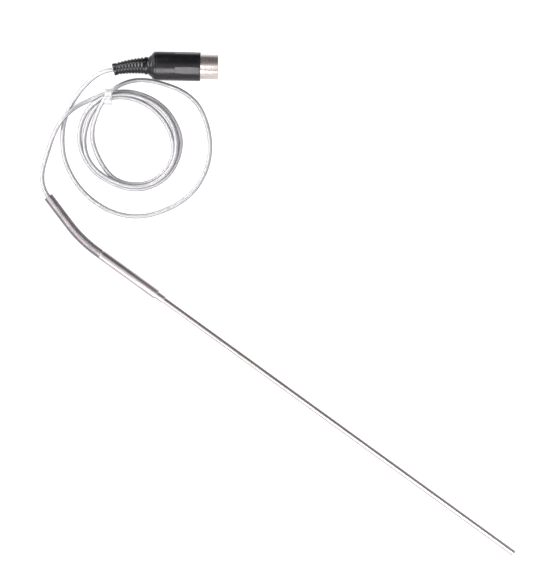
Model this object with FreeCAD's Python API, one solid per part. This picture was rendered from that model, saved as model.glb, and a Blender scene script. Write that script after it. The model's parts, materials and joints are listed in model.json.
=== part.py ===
import FreeCAD, Part
import math
import os

# Plug-in thermocouple probe: a straight mineral-insulated sheath in a stainless sleeve, a close-wound
# relief spring, a braided compensating cord tied in three turns inside one large loop, and a round
# five-pin plug with a ribbed boot.
#
# Frame: origin on the sheath's axis at the shoulder where the collar ends, +X along the sheath to its
# tip, +Z up. Everything lies on one flat surface. Millimetres and degrees throughout.

Vector = FreeCAD.Vector
UP = Vector(0, 0, 1)
ORIGIN = Vector(0, 0, 0)

# Probe: stations run from the shoulder, forwards to the tip and backwards to the spring.
SHEATH_R = 1.5
SHEATH_WALL = 0.35
SHEATH_LENGTH = 229.0
TIP_LENGTH = 1.2
TIP_ROUND = 0.3
SHEATH_BACK = -14.0
SHEATH_SEAT_R = 1.32
SHOULDER_GAP = 0.1
CORE_FRONT = 225.5
CORE_BACK = -15.0
WIRE_R = 0.25
WIRE_OFFSET = 0.5
JUNCTION_R = 0.62

COLLAR_R = 1.95
COLLAR_LENGTH = 4.9
COLLAR_PLUG_LENGTH = 6.0
SLEEVE_R = 2.65
SLEEVE_WALL = 0.4
SLEEVE_BACK = -41.3
SLEEVE_ROUND = 0.25

CRIMP_R = 0.6
CRIMP_LENGTH = 5.0
CRIMP_BACK = -26.0
POTTING_FRONT = -17.5
POTTING_BACK = -32.0
LEAD_R = 0.3
LEAD_OFFSET = 0.75

BUSH_FRONT = -35.0
NIPPLE_R = 1.85
NIPPLE_LENGTH = 3.0

# Relief spring: straight on the nipple, then a gentle arc, then straight to its mouth. It is a plain
# tube of the wound wire's volume, so its outside lies between the crests and the valleys of the turns.
SPRING_R = 2.48
SPRING_WALL = 0.43
SPRING_BEND_RADIUS = 67.4
SPRING_BEND = 17.0
SPRING_TAIL = 19.0

# Cord, and the surface that everything lies on.
CORD_R = 1.25
FLOOR = -SLEEVE_R
CORD_FLOOR = FLOOR + CORD_R
GAP = 0.05

# Plug: its own frame has +X towards the socket and its origin at the centre of the body's rear face.
PLUG_AT = Vector(-77.8, 96.7, FLOOR + 7.7)
PLUG_YAW = 34.7
PLUG_ROLL = 9.5
BODY_R = 7.65
BODY_LENGTH = 25.7
BODY_CHAMFER_LENGTH = 1.6
BODY_CHAMFER_DEPTH = 1.4
BODY_REAR_WALL = 3.0
BODY_BORE_R = 6.7
BODY_FLAT_DEPTH = 0.25
BODY_FLAT_LENGTH = 13.4
BODY_FLAT_COUNT = 4
BODY_FLAT_ROLL = 19.0
SHELL_R = 6.6
SHELL_WALL = 0.45
SHELL_PROUD = 9.35
SHELL_SEAT_R = 6.4
SHELL_BACK = 17.6
KEY_WIDTH = 2.3
KEY_DEPTH = 0.9
INSERT_BACK = 18.2
INSERT_FRONT = 26.2
PIN_R = 0.725
PIN_CIRCLE_R = 3.5
PIN_FRONT = 34.2
CUP_BACK = 14.6
CUP_R = 0.95
CUP_WALL = 0.28
CUP_DEPTH = 2.2
LEAD_CORE_R = 0.42
PIN_ANGLES = (-90, -45, 0, 45, 90)
SHIELD_R = 6.15
SHIELD_WALL = 0.4
SHIELD_BACK = 4.0
SHIELD_FRONT = 17.4
CORD_CRIMP_R = 1.8
CORD_CRIMP_LENGTH = 5.0
PLUG_CORD_END = 10.0

# Boot: its axis leans a little from the plug's own, because the cord pulls it to one side.
BOOT_LEAN = 8.0
BOOT_LENGTH = 18.3
BOOT_WIDE_R = 4.7
BOOT_FREE_R = 3.15
BOOT_NECK = 2.3
BOOT_FLANGE_R = 6.1
RIB_PITCH = 1.7
RIB_WIDTH = 0.95
RIB_DEPTH = 0.75
RIB_COUNT = 9

# Coil: three turns wound clockwise from the tie. Each row is one station, and gives the radii of the
# outer, middle and inner turn's axes about the coil's centre, and how far the middle turn rides up.
COIL_CENTRE = (-65.2, 57.4)
TIE_ANGLE = 150.0
COIL_STATIONS = (
    (26.9, 25.7, 24.4, 2.2),
    (25.8, 24.2, 22.6, 2.1),
    (25.2, 23.5, 21.3, 1.9),
    (25.6, 24.0, 21.0, 1.9),
    (26.4, 24.7, 21.7, 1.8),
    (28.0, 25.4, 23.4, 1.6),
    (28.2, 26.6, 25.2, 2.1),
    (28.2, 26.9, 25.6, 2.2),
    (27.4, 26.1, 24.8, 2.2),
    (25.7, 24.4, 23.1, 2.2),
    (23.9, 22.7, 21.4, 2.2),
    (24.2, 22.9, 18.8, 2.1),
    (24.8, 23.3, 17.8, 2.0),
    (25.8, 23.2, 18.6, 0.0),
    (26.4, 23.2, 19.9, 0.0),
    (26.9, 24.4, 22.2, 0.0),
)
COIL_HEIGHT = 4.9

# Route of the cord from the spring's mouth to the tie: x, y and height above lying on the surface.
LEAD_IN_ROUTE = (
    (-86.4, 10.5, 1.1),
    (-90.3, 14.1, 0.4),
    (-93.3, 19.3, 0.0),
    (-95.6, 26.0, 0.0),
    (-98.0, 33.0, 0.2),
    (-99.5, 39.3, 1.3),
    (-99.9, 45.2, 3.0),
    (-99.2, 50.6, 3.0),
    (-97.7, 56.0, 1.5),
    (-94.9, 61.6, 0.2),
    (-91.9, 66.6, 0.3),
    (-88.5, 70.8, 0.9),
)

# Route from the coil's inner turn, over the others in the tie, round the large loop to the boot.
OUTER_LOOP_ROUTE = (
    (-87.2, 60.3, 2.2),
    (-87.9, 65.6, 4.5),
    (-87.7, 70.8, 5.5),
    (-86.8, 75.9, 4.9),
    (-84.6, 80.7, 2.9),
    (-80.8, 85.6, 0.9),
    (-74.8, 89.8, 0.0),
    (-66.4, 93.2, 0.0),
    (-56.8, 95.7, 0.0),
    (-46.6, 95.0, 0.0),
    (-37.6, 90.0, 0.0),
    (-30.5, 83.7, 0.0),
    (-25.0, 76.0, 0.0),
    (-21.7, 67.0, 0.0),
    (-20.9, 57.6, 0.0),
    (-22.7, 48.3, 0.0),
    (-27.1, 39.3, 0.0),
    (-33.2, 31.0, 0.0),
    (-41.0, 25.0, 0.0),
    (-50.1, 21.4, 0.0),
    (-60.2, 20.4, 0.0),
    (-70.0, 21.5, 0.0),
    (-79.2, 24.8, 0.0),
    (-87.4, 29.9, 0.0),
    (-93.9, 37.3, 0.0),
    (-98.3, 44.9, 0.0),
    (-100.4, 52.2, 0.0),
    (-101.1, 59.6, 0.3),
    (-100.8, 66.4, 1.7),
    (-99.7, 72.4, 3.8),
    (-97.9, 77.2, 5.6),
    (-95.6, 80.7, 6.4),
)

# Tie: a nylon strap round the four cords, with its head on the coil's inner side.
TIE_AT = Vector(-87.5, 70.6, FLOOR)
TIE_YAW = 35.9
TIE_WIDTH = 3.7
TIE_THICKNESS = 0.9
TIE_BASE_HALF = 1.3
TIE_RISE = 4.7
TIE_LEAN = 0.3
TIE_HEAD = (4.2, 2.3, 4.0)
TIE_TAIL = (2.4, 1.1, 3.0)

os.makedirs("parts", exist_ok=True)


# Shared shapes

def save(shape, node):
    shape.exportStep("parts/" + node + ".step")


def rod(start, end, radius, across=0.0, height=0.0):
    """A round bar along X."""
    return Part.makeCylinder(radius, end - start, Vector(start, across, height), Vector(1, 0, 0))


def tube(start, end, outer, inner):
    return rod(start, end, outer).cut(rod(start - 1, end + 1, inner))


def turned(profile):
    """A solid turned about X from a closed outline of (x, radius) points."""
    points = [Vector(x, radius, 0) for x, radius in profile]
    face = Part.Face(Part.makePolygon(points + points[:1]))
    return face.revolve(ORIGIN, Vector(1, 0, 0), 360)


def block(low, high):
    """A box between two corners."""
    size = [b - a for a, b in zip(low, high)]
    return Part.makeBox(size[0], size[1], size[2], Vector(*low))


def in_plug(shape, roll=PLUG_ROLL):
    """Turns and moves a shape from the plug's own frame to where the plug lies."""
    placed = shape.copy()
    placed.rotate(ORIGIN, Vector(1, 0, 0), roll)
    placed.rotate(ORIGIN, UP, PLUG_YAW)
    placed.translate(PLUG_AT)
    return placed


def plug_point(x):
    """A point on the plug's axis, in the part's frame."""
    yaw = math.radians(PLUG_YAW)
    return PLUG_AT + Vector(math.cos(yaw), math.sin(yaw), 0) * x


def boot_point(distance):
    """A point on the boot's axis, measured from its wide end back towards its free end."""
    yaw = math.radians(PLUG_YAW + BOOT_LEAN)
    return plug_point(-BOOT_NECK) - Vector(math.cos(yaw), math.sin(yaw), 0) * distance


def rounded_path(points, name):
    """Straight runs joined by tangent arcs, each as large as its two runs allow."""
    edges = []
    radii = []
    start = points[0]
    for before, corner, after in zip(points, points[1:], points[2:]):
        back = (before - corner).normalize()
        ahead = (after - corner).normalize()
        turn = math.pi - back.getAngle(ahead)
        shorter = min((before - corner).Length, (after - corner).Length)
        reach = 0.45 * shorter
        radius = reach / math.tan(turn / 2)
        radii.append(radius)
        arc_start = corner + back * reach
        arc_end = corner + ahead * reach
        inward = (back + ahead).normalize()
        centre = corner + inward * (radius / math.cos(turn / 2))
        middle = centre - inward * radius
        edges.append(Part.LineSegment(start, arc_start).toShape())
        edges.append(Part.Arc(arc_start, middle, arc_end).toShape())
        start = arc_end
    edges.append(Part.LineSegment(start, points[-1]).toShape())
    path = Part.Wire(edges)
    print(name, "arc radii", [round(radius, 1) for radius in radii], "length", round(path.Length, 1))
    return path


def swept(path, radius, name):
    """A round bar along a path, checked against its section times its length."""
    start = path.Edges[0].Vertexes[0].Point
    along = path.Edges[0].tangentAt(path.Edges[0].FirstParameter)
    ring = Part.Wire(Part.makeCircle(radius, start, along))
    solid = path.makePipeShell([ring], True, False)
    expected = math.pi * radius ** 2 * path.Length
    print(name, "volume", round(solid.Volume / expected, 4), "of expected, valid", solid.isValid())
    return solid


def cord_points(route):
    return [Vector(x, y, CORD_FLOOR + height) for x, y, height in route]


# Probe

def sheath_tube():
    """The bare sheath, and behind the shoulder the thinner end that seats in the collar."""
    outside = rod(0, SHEATH_LENGTH - TIP_LENGTH, SHEATH_R).fuse(rod(SHEATH_BACK, 0, SHEATH_SEAT_R))
    return outside.cut(rod(SHEATH_BACK - 1, SHEATH_LENGTH, SHEATH_R - SHEATH_WALL))


def tip_weld_cap():
    start = SHEATH_LENGTH - TIP_LENGTH
    cap = rod(start, SHEATH_LENGTH, SHEATH_R)
    rim = [edge for edge in cap.Edges if abs(edge.CenterOfMass.x - SHEATH_LENGTH) < 0.01]
    return cap.makeFillet(TIP_ROUND, rim)


def wire(side):
    return rod(CRIMP_BACK + CRIMP_LENGTH / 2, CORE_FRONT + 0.4, WIRE_R, side * WIRE_OFFSET)


def hot_junction():
    ball = Part.makeSphere(JUNCTION_R, Vector(CORE_FRONT + 1.0, 0, 0))
    return ball.cut(Part.makeCompound([wire(-1), wire(1)]))


def mineral_core():
    core = rod(CORE_BACK, CORE_FRONT, SHEATH_R - SHEATH_WALL - 0.02)
    for side in (-1, 1):
        core = core.cut(rod(CORE_BACK - 1, CORE_FRONT + 1, WIRE_R + 0.02, side * WIRE_OFFSET))
    return core.cut(Part.makeSphere(JUNCTION_R + 0.02, Vector(CORE_FRONT + 1.0, 0, 0)))


def reducer_collar():
    bore = SHEATH_SEAT_R + 0.02
    inside = SLEEVE_R - SLEEVE_WALL - 0.02
    back = -COLLAR_LENGTH - COLLAR_PLUG_LENGTH
    chamfer = 0.3
    front = -SHOULDER_GAP
    return turned((
        (back, bore), (front, bore), (front, COLLAR_R - chamfer), (front - chamfer, COLLAR_R),
        (-COLLAR_LENGTH, COLLAR_R), (-COLLAR_LENGTH, inside), (back, inside),
    ))


def transition_sleeve():
    body = tube(SLEEVE_BACK, -COLLAR_LENGTH, SLEEVE_R, SLEEVE_R - SLEEVE_WALL)
    rims = [e for e in body.Edges if hasattr(e.Curve, "Radius") and abs(e.Curve.Radius - SLEEVE_R) < 0.01
            and abs(e.BoundBox.XLength) < 0.01]
    return body.makeFillet(SLEEVE_ROUND, rims)


def crimp_offset(side):
    return side * LEAD_OFFSET


def splice_crimp(side):
    across = crimp_offset(side)
    crimp = rod(CRIMP_BACK, CRIMP_BACK + CRIMP_LENGTH, CRIMP_R, across)
    crimp = crimp.cut(rod(CRIMP_BACK - 1, CRIMP_BACK + CRIMP_LENGTH / 2, LEAD_R + 0.02, across))
    return crimp.cut(rod(CRIMP_BACK + 1, CRIMP_BACK + CRIMP_LENGTH + 1, WIRE_R + 0.02, side * WIRE_OFFSET))


def lead_conductor(side):
    return rod(BUSH_FRONT - 0.8, CRIMP_BACK + CRIMP_LENGTH / 2 - GAP, LEAD_R, crimp_offset(side))


def potting():
    body = rod(POTTING_BACK, POTTING_FRONT, SLEEVE_R - SLEEVE_WALL - 0.02)
    for side in (-1, 1):
        across = crimp_offset(side)
        front = CRIMP_BACK + CRIMP_LENGTH
        body = body.cut(rod(CRIMP_BACK, front, CRIMP_R + 0.02, across))
        body = body.cut(rod(front - 1, POTTING_FRONT + 1, WIRE_R + 0.02, side * WIRE_OFFSET))
        body = body.cut(rod(POTTING_BACK - 1, CRIMP_BACK + 1, LEAD_R + 0.02, across))
    return body


def cord_bush():
    bore = CORD_R + GAP
    inside = SLEEVE_R - SLEEVE_WALL - 0.02
    end = SLEEVE_BACK - NIPPLE_LENGTH
    return turned((
        (end, bore), (BUSH_FRONT, bore), (BUSH_FRONT, inside), (SLEEVE_BACK, inside),
        (SLEEVE_BACK, NIPPLE_R), (end, NIPPLE_R),
    ))


def spring_stations():
    """Ends of the spring's arc, its centre, and the mouth, all on the spring's axis."""
    arc_start = Vector(SLEEVE_BACK - NIPPLE_LENGTH, 0, 0)
    centre = arc_start + Vector(0, SPRING_BEND_RADIUS, 0)
    bend = math.radians(SPRING_BEND)
    half = bend / 2
    arc_middle = centre + Vector(-math.sin(half), -math.cos(half), 0) * SPRING_BEND_RADIUS
    arc_end = centre + Vector(-math.sin(bend), -math.cos(bend), 0) * SPRING_BEND_RADIUS
    mouth = arc_end + Vector(-math.cos(bend), math.sin(bend), 0) * SPRING_TAIL
    return arc_start, arc_middle, arc_end, mouth


def spring_path(start):
    arc_start, arc_middle, arc_end, mouth = spring_stations()
    return Part.Wire([
        Part.LineSegment(start, arc_start).toShape(),
        Part.Arc(arc_start, arc_middle, arc_end).toShape(),
        Part.LineSegment(arc_end, mouth).toShape(),
    ])


def relief_spring():
    path = spring_path(Vector(SLEEVE_BACK, 0, 0))
    outer = swept(path, SPRING_R, "spring outside")
    inner = swept(path, SPRING_R - SPRING_WALL, "spring inside")
    return outer.cut(inner)


def cord_in_spring():
    return swept(spring_path(Vector(BUSH_FRONT - 0.8, 0, 0)), CORD_R, "cord in spring")


# Free cord

def coil_station(row, turn, reach=0.0):
    """Plan position of one turn's axis at one station, moved outwards by reach."""
    angle = math.radians(TIE_ANGLE - 360.0 * row / len(COIL_STATIONS))
    radius = COIL_STATIONS[row][turn] + reach
    return Vector(COIL_CENTRE[0] + radius * math.cos(angle), COIL_CENTRE[1] + radius * math.sin(angle), FLOOR)


def coil_outline(turn, reach):
    curve = Part.BSplineCurve()
    curve.interpolate([coil_station(row, turn, reach) for row in range(len(COIL_STATIONS))], PeriodicFlag=True)
    return Part.Wire(curve.toShape())


def cord_coil():
    outside = Part.Face(coil_outline(0, CORD_R)).extrude(UP * COIL_HEIGHT)
    inside = Part.Face(coil_outline(2, -CORD_R)).extrude(UP * COIL_HEIGHT)
    return outside.cut(inside)


def cord_lead_in():
    mouth = spring_stations()[-1]
    path = rounded_path([mouth] + cord_points(LEAD_IN_ROUTE), "cord_lead_in")
    return swept(path, CORD_R, "cord_lead_in")


def cord_outer_loop():
    path = rounded_path(cord_points(OUTER_LOOP_ROUTE) + [boot_point(BOOT_LENGTH)], "cord_outer_loop")
    return swept(path, CORD_R, "cord_outer_loop")


def tie_outline(reach):
    """Rounded triangle round two cords on the surface and one on top, in the plane across the cords."""
    base = TIE_THICKNESS + CORD_R
    corners = [Vector(0, -TIE_BASE_HALF, base), Vector(0, TIE_BASE_HALF, base),
               Vector(0, TIE_LEAN, base + TIE_RISE)]
    triangle = Part.makePolygon(corners + corners[:1])
    return Part.Face(triangle.makeOffset2D(reach))


def at_tie(shape):
    placed = shape.copy()
    placed.rotate(ORIGIN, UP, TIE_YAW)
    placed.translate(TIE_AT)
    return placed


def tie_strap():
    across = Vector(TIE_WIDTH, 0, 0)
    outside = tie_outline(CORD_R + TIE_THICKNESS).extrude(across)
    inside = tie_outline(CORD_R + GAP).extrude(across)
    strap = outside.cut(inside)
    strap.translate(across * -0.5)
    return at_tie(strap)


def beside_strap(size, lift):
    """A block against the strap's inner slope, lifted along the slope."""
    run = TIE_BASE_HALF + TIE_LEAN
    slope = math.degrees(math.atan2(run, TIE_RISE))
    low = (-size[0] / 2, -CORD_R - TIE_THICKNESS - size[1], lift)
    piece = block(low, (low[0] + size[0], low[1] + size[1], low[2] + size[2]))
    piece.rotate(ORIGIN, Vector(1, 0, 0), -slope)
    piece.translate(Vector(0, -TIE_BASE_HALF, TIE_THICKNESS + CORD_R))
    return at_tie(piece)


def tie_head():
    return beside_strap(TIE_HEAD, 0.4)


def tie_tail():
    lift = 0.4 + TIE_HEAD[2]
    return beside_strap(TIE_TAIL, lift)


# Plug

def plug_body():
    outside = turned((
        (0, 0), (0, BODY_R - BODY_CHAMFER_DEPTH), (BODY_CHAMFER_LENGTH, BODY_R),
        (BODY_LENGTH - 0.4, BODY_R), (BODY_LENGTH, BODY_R - 0.4), (BODY_LENGTH, 0),
    ))
    bore = rod(BODY_REAR_WALL, BODY_LENGTH + 1, BODY_BORE_R)
    rear = rod(-1, BODY_REAR_WALL + 1, BOOT_FLANGE_R + GAP)
    body = outside.cut(bore).cut(rear)
    start = BODY_LENGTH - BODY_FLAT_LENGTH
    for index in range(BODY_FLAT_COUNT):
        flat = block((start, -BODY_R, BODY_R - BODY_FLAT_DEPTH), (BODY_LENGTH - 0.8, BODY_R, BODY_R + 1))
        flat.rotate(ORIGIN, Vector(1, 0, 0), 360 / BODY_FLAT_COUNT * index)
        body = body.cut(flat)
    return in_plug(body, roll=BODY_FLAT_ROLL)


def key_block(start, end, margin, depth):
    half = KEY_WIDTH / 2 + margin
    return block((start, -half, SHELL_R - depth), (end, half, SHELL_R + 1))


def shield_shell():
    end = BODY_LENGTH + SHELL_PROUD
    outside = rod(BODY_LENGTH + SHOULDER_GAP, end, SHELL_R).fuse(rod(SHELL_BACK, end, SHELL_SEAT_R))
    ring = outside.cut(rod(SHELL_BACK - 1, end + 1, SHELL_R - SHELL_WALL))
    channel = key_block(SHELL_BACK, end, SHELL_WALL, KEY_DEPTH + SHELL_WALL)
    shell = ring.fuse(channel.common(rod(SHELL_BACK, end, SHELL_SEAT_R)))
    shell = shell.cut(key_block(SHELL_BACK - 1, end + 1, 0, KEY_DEPTH))
    return in_plug(shell.removeSplitter())


def pin_place(angle):
    """Pins sit on a half circle opposite the key."""
    turn = math.radians(angle)
    return PIN_CIRCLE_R * math.sin(turn), -PIN_CIRCLE_R * math.cos(turn)


def pin_insert():
    body = rod(INSERT_BACK, INSERT_FRONT, SHELL_R - SHELL_WALL - GAP)
    body = body.cut(key_block(INSERT_BACK - 1, INSERT_FRONT + 1, SHELL_WALL + GAP,
                              KEY_DEPTH + SHELL_WALL + GAP))
    for angle in PIN_ANGLES:
        across, height = pin_place(angle)
        body = body.cut(rod(INSERT_BACK - 1, INSERT_FRONT + 1, PIN_R + 0.02, across, height))
    return in_plug(body)


def contact_pin(angle):
    across, height = pin_place(angle)
    pin = rod(CUP_BACK, PIN_FRONT, PIN_R, across, height)
    tip = [edge for edge in pin.Edges if abs(edge.CenterOfMass.x - PIN_FRONT) < 0.01]
    pin = pin.makeFillet(0.5, tip)
    pin = pin.fuse(rod(CUP_BACK, INSERT_BACK - GAP, CUP_R, across, height))
    pin = pin.cut(rod(CUP_BACK - 1, CUP_BACK + CUP_DEPTH, CUP_R - CUP_WALL, across, height))
    return in_plug(pin.removeSplitter())


def rear_shield(side):
    """One half of the rear shield: a half tube with an end wall that closes on the cord crimp."""
    shell = tube(SHIELD_BACK, SHIELD_FRONT, SHIELD_R, SHIELD_R - SHIELD_WALL)
    wall = tube(SHIELD_BACK, SHIELD_BACK + SHIELD_WALL, SHIELD_R, CORD_CRIMP_R + GAP)
    half = block((0, -10, GAP / 2), (BODY_LENGTH, 10, 10))
    if side < 0:
        half = block((0, -10, -10), (BODY_LENGTH, 10, -GAP / 2))
    return in_plug(shell.fuse(wall).common(half).removeSplitter())


def cord_crimp():
    return in_plug(tube(SHIELD_BACK - 0.6, SHIELD_BACK + CORD_CRIMP_LENGTH, CORD_CRIMP_R, CORD_R + 0.02))


def plug_lead(side):
    """An insulated core that spreads from the cord's end to its pin and runs straight into the cup."""
    across, height = pin_place(side * 90)
    start = Vector(PLUG_CORD_END + 0.4, side * 0.6, 0)
    bend = Vector(CUP_BACK - 0.9, across, height)
    slope = Part.makeCylinder(LEAD_CORE_R, (bend - start).Length, start, bend - start)
    straight = rod(bend.x, CUP_BACK + CUP_DEPTH / 2, LEAD_CORE_R, across, height)
    return in_plug(slope.fuse(Part.makeSphere(LEAD_CORE_R, bend)).fuse(straight))


def solder_joint(side):
    across, height = pin_place(side * 90)
    bead = rod(CUP_BACK + 0.3, CUP_BACK + CUP_DEPTH, CUP_R - CUP_WALL - 0.02, across, height)
    return in_plug(bead).cut(plug_lead(side))


def cord_in_plug():
    points = [boot_point(BOOT_LENGTH - 2 * GAP), boot_point(0), plug_point(PLUG_CORD_END)]
    path = rounded_path(points, "cord_in_plug")
    return swept(path, CORD_R, "cord_in_plug")


def strain_relief_boot():
    """A tapered ribbed tube and a flange that the body's rear wall holds, made in the boot's own frame."""
    taper = (BOOT_WIDE_R - BOOT_FREE_R) / BOOT_LENGTH
    sleeve = turned(((0, 0), (0, BOOT_WIDE_R), (-BOOT_LENGTH, BOOT_FREE_R), (-BOOT_LENGTH, 0)))
    for index in range(RIB_COUNT):
        front = -1.7 - RIB_PITCH * index
        back = front - (RIB_PITCH - RIB_WIDTH)
        radius = BOOT_WIDE_R + taper * front
        sleeve = sleeve.cut(tube(back, front, radius + 1, radius - RIB_DEPTH))
    sleeve.rotate(ORIGIN, UP, BOOT_LEAN)
    sleeve.translate(Vector(-BOOT_NECK, 0, 0))
    flange = turned((
        (-BOOT_NECK - 0.5, 0), (-BOOT_NECK - 0.5, BOOT_WIDE_R - 0.3), (-BOOT_NECK, BOOT_WIDE_R - 0.2),
        (0, BOOT_FLANGE_R - 0.05), (BODY_REAR_WALL, BOOT_FLANGE_R - 0.05), (BODY_REAR_WALL, 0),
    ))
    boot = in_plug(sleeve.fuse(flange).removeSplitter(), roll=0)
    points = [boot_point(BOOT_LENGTH + 1), boot_point(0), plug_point(PLUG_CORD_END)]
    bore = swept(rounded_path(points, "boot bore"), CORD_R + GAP, "boot bore")
    return boot.cut(bore)


# Every node and the solid that it holds.
NODES = {
    "sheath_tube": sheath_tube(),
    "tip_weld_cap": tip_weld_cap(),
    "mineral_insulation": mineral_core(),
    "thermoelement_positive": wire(1),
    "thermoelement_negative": wire(-1),
    "hot_junction": hot_junction(),
    "reducer_collar": reducer_collar(),
    "transition_sleeve": transition_sleeve(),
    "potting_compound": potting(),
    "splice_crimp_positive": splice_crimp(1),
    "splice_crimp_negative": splice_crimp(-1),
    "lead_conductor_positive": lead_conductor(1),
    "lead_conductor_negative": lead_conductor(-1),
    "cord_bush": cord_bush(),
    "relief_spring": relief_spring(),
    "cord_in_spring": cord_in_spring(),
    "cord_lead_in": cord_lead_in(),
    "cord_coil": cord_coil(),
    "cord_outer_loop": cord_outer_loop(),
    "tie_strap": tie_strap(),
    "tie_head": tie_head(),
    "tie_tail": tie_tail(),
    "strain_relief_boot": strain_relief_boot(),
    "cord_in_plug": cord_in_plug(),
    "plug_body": plug_body(),
    "shield_shell": shield_shell(),
    "rear_shield_upper": rear_shield(1),
    "rear_shield_lower": rear_shield(-1),
    "cord_crimp": cord_crimp(),
    "pin_insert": pin_insert(),
    "plug_lead_positive": plug_lead(1),
    "plug_lead_negative": plug_lead(-1),
    "solder_joint_positive": solder_joint(1),
    "solder_joint_negative": solder_joint(-1),
}
for number, pin_angle in enumerate(PIN_ANGLES, 1):
    NODES["contact_pin_" + str(number)] = contact_pin(pin_angle)

for node, shape in NODES.items():
    if not shape.isValid() or len(shape.Solids) != 1:
        print("check", node, "valid", shape.isValid(), "solids", len(shape.Solids))
    save(shape, node)
print(len(NODES), "nodes written")
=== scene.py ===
"""Looks of the plug-in thermocouple probe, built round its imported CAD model.

The frame is the part's own: origin on the sheath's axis at its shoulder, +X along the sheath to its tip, +Z
up from the table. Shapes are worked out in millimetres and become metres in a mesh.
"""
import json
import math

import bmesh
import bpy
import numpy as np
from mathutils import Euler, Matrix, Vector


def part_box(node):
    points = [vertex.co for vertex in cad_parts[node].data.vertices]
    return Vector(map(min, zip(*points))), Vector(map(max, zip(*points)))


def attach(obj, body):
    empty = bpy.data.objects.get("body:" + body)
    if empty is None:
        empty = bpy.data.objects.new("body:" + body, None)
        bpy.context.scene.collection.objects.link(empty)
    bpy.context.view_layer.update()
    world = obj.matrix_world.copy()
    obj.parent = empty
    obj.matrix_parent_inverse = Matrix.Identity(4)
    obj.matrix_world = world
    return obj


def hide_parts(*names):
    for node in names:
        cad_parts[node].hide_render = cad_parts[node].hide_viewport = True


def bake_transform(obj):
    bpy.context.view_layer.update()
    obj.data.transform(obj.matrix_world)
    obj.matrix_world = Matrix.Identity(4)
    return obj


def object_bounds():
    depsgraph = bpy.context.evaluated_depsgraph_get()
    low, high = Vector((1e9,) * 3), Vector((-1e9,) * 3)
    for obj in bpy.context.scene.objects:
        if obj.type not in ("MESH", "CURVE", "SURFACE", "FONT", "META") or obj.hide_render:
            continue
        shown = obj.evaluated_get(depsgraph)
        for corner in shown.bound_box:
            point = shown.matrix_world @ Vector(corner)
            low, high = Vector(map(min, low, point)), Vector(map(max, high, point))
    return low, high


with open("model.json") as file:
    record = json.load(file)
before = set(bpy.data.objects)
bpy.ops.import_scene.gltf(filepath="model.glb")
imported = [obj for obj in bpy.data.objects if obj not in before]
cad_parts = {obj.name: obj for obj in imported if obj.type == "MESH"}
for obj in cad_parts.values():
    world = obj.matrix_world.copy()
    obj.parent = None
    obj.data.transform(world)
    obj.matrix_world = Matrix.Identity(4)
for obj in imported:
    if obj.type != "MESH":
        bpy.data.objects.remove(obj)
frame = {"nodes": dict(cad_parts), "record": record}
cad_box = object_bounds()

MM = 0.001
UP = np.array((0.0, 0.0, 1.0))
MOUNTS = {mount["name"]: mount for mount in frame["record"]["mounts"]}


def low_high(node):
    """The two corners of a CAD node's box, in millimetres."""
    return [np.array(corner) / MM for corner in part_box(node)]


def unit(vector):
    """The vector's direction, with length one."""
    return np.asarray(vector, float) / np.linalg.norm(vector)


def circle(count):
    """Evenly spaced angles once round, in radians."""
    return np.arange(count) * 2 * math.pi / count


def heading(degrees):
    """The level direction that is turned this far from +X."""
    angle = math.radians(degrees)
    return np.array((math.cos(angle), math.sin(angle), 0.0))


# Sizes in millimetres. Those that the frame holds are read from it.

FLOOR = cad_box[0].z / MM
TIP = low_high("tip_weld_cap")[1][0]
TIP_WELD = low_high("tip_weld_cap")[0][0]
SHEATH_R = MOUNTS["sheath"]["dims"]["r_mm"]
COLLAR_FRONT = low_high("reducer_collar")[1][0]
COLLAR_R = 1.95
COLLAR_BORE = SHEATH_R - 0.16
OVERLAP = 2.0  # how far the sheath reaches into the collar, and the collar into the sleeve
SHEATH_NECK = SHEATH_R - 0.18
WELD_CREST = 0.12
WELD_HEIGHT = 0.035
WELD_LENGTH = 0.3
SLEEVE_R = MOUNTS["sleeve"]["dims"]["r_mm"]
SLEEVE_BACK = low_high("transition_sleeve")[0][0]
SLEEVE_FRONT = low_high("transition_sleeve")[1][0]
SLEEVE_WALL = 0.4

SPRING_R = 2.6
SPRING_WIRE = 0.57
SPRING_PITCH = SPRING_WIRE * 1.01  # close-wound, with a hair between the turns
SPRING_START = 3.0
SPRING_BEND_RADIUS = 67.4
SPRING_BEND = 17.0
SPRING_TAIL = 19.0
SPRING_STEADY = 8.0  # the length at the mouth that follows the cord without bending

CORD_R = 1.25
CORD_FLOOR = FLOOR + CORD_R
CARRIERS = 8
BRAID_LAY = 9.2
STRAND_WIDTH = 0.37
STRAND_THICKNESS = 0.09
STRAND_WEAVE = 0.09
CORE_SIDES = 12
INSIDE_SPRING = 6.0
INSIDE_SLEEVE = 6.0
INSIDE_BOOT = 2.0
INSIDE_BODY = 10.0
PATH_STEP = 0.5

PLUG_YAW = math.degrees(math.atan2(*MOUNTS["plug_shell"]["axis"][1::-1]))
PLUG_ROLL = 9.5
BODY_LENGTH = 25.7
BODY_R = 7.65
REAR_BORE = 6.1
REAR_FACE_R = 6.35
REAR_STEP = 0.45
REAR_LAND = 0.3
GROOVE_DEPTH = 0.14
FRONT_BORE = 6.7
FLAT_RUN_OUT = 0.1
SHELL_R = MOUNTS["plug_shell"]["dims"]["r_mm"]
SHELL_WALL = 0.45
SHELL_END = 35.05
SHELL_START = BODY_LENGTH - 4.0  # the rest of the shell is held inside the cover
SHELL_PLAY = 0.08
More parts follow.
